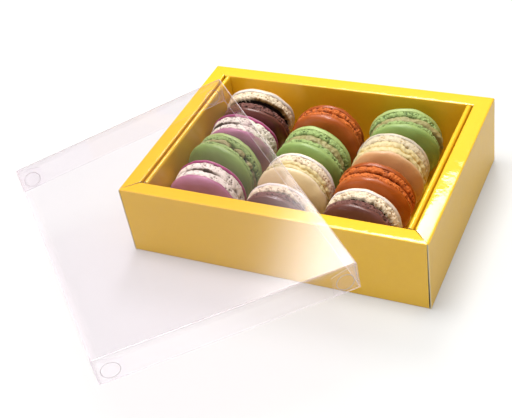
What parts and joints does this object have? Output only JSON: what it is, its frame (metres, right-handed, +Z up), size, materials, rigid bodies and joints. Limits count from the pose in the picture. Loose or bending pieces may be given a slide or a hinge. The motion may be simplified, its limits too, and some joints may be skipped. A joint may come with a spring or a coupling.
{
  "type": "macaron box",
  "caption": "Open gold card tray with a hollow frame rim, filled macarons standing on edge in columns, and a clear folded lid resting across one corner.",
  "frame": {"origin": "centre of the tray's underside, on the surface it stands on", "axes": "+Z up, +X along the tray's long side, -Y towards the front long side that the lid hangs over"},
  "size_m": [0.2499, 0.2668, 0.0671],
  "materials": {
    "gold_card": "glossy foil laminate",
    "clear_film": "clear glossy sheet",
    "cream_shell": "baked shell, satin dome and rough foot",
    "cocoa_shell": "baked shell, satin dome and rough foot",
    "pink_shell": "baked shell, satin dome and rough foot",
    "green_shell": "baked shell, satin dome and rough foot",
    "orange_shell": "baked shell, satin dome and rough foot",
    "cream_filling": "smooth paste",
    "vanilla_filling": "smooth paste",
    "pistachio_filling": "smooth paste",
    "orange_filling": "smooth paste",
    "chocolate_filling": "smooth paste"
  },
  "bodies": {
    "root": {"tray": "gold_card", "liner": "gold_card", "lid": "clear_film", "left_1_back_shell": "cream_shell", "left_1_filling": "chocolate_filling", "left_1_front_shell": "cocoa_shell", "left_2_back_shell": "pink_shell", "left_2_filling": "cream_filling", "left_2_front_shell": "pink_shell", "left_3_back_shell": "green_shell", "left_3_filling": "pistachio_filling", "left_3_front_shell": "green_shell", "left_4_back_shell": "pink_shell", "left_4_filling": "cream_filling", "left_4_front_shell": "pink_shell", "middle_1_back_shell": "orange_shell", "middle_1_filling": "orange_filling", "middle_1_front_shell": "orange_shell", "middle_2_back_shell": "green_shell", "middle_2_filling": "pistachio_filling", "middle_2_front_shell": "green_shell", "middle_3_back_shell": "cream_shell", "middle_3_filling": "vanilla_filling", "middle_3_front_shell": "cream_shell", "middle_4_back_shell": "cream_shell", "middle_4_filling": "chocolate_filling", "middle_4_front_shell": "cocoa_shell", "right_1_back_shell": "green_shell", "right_1_filling": "pistachio_filling", "right_1_front_shell": "green_shell", "right_2_back_shell": "cream_shell", "right_2_filling": "vanilla_filling", "right_2_front_shell": "cream_shell", "right_3_back_shell": "orange_shell", "right_3_filling": "orange_filling", "right_3_front_shell": "orange_shell", "right_4_back_shell": "cream_shell", "right_4_filling": "chocolate_filling", "right_4_front_shell": "cocoa_shell"}
  },
  "joints": []
}
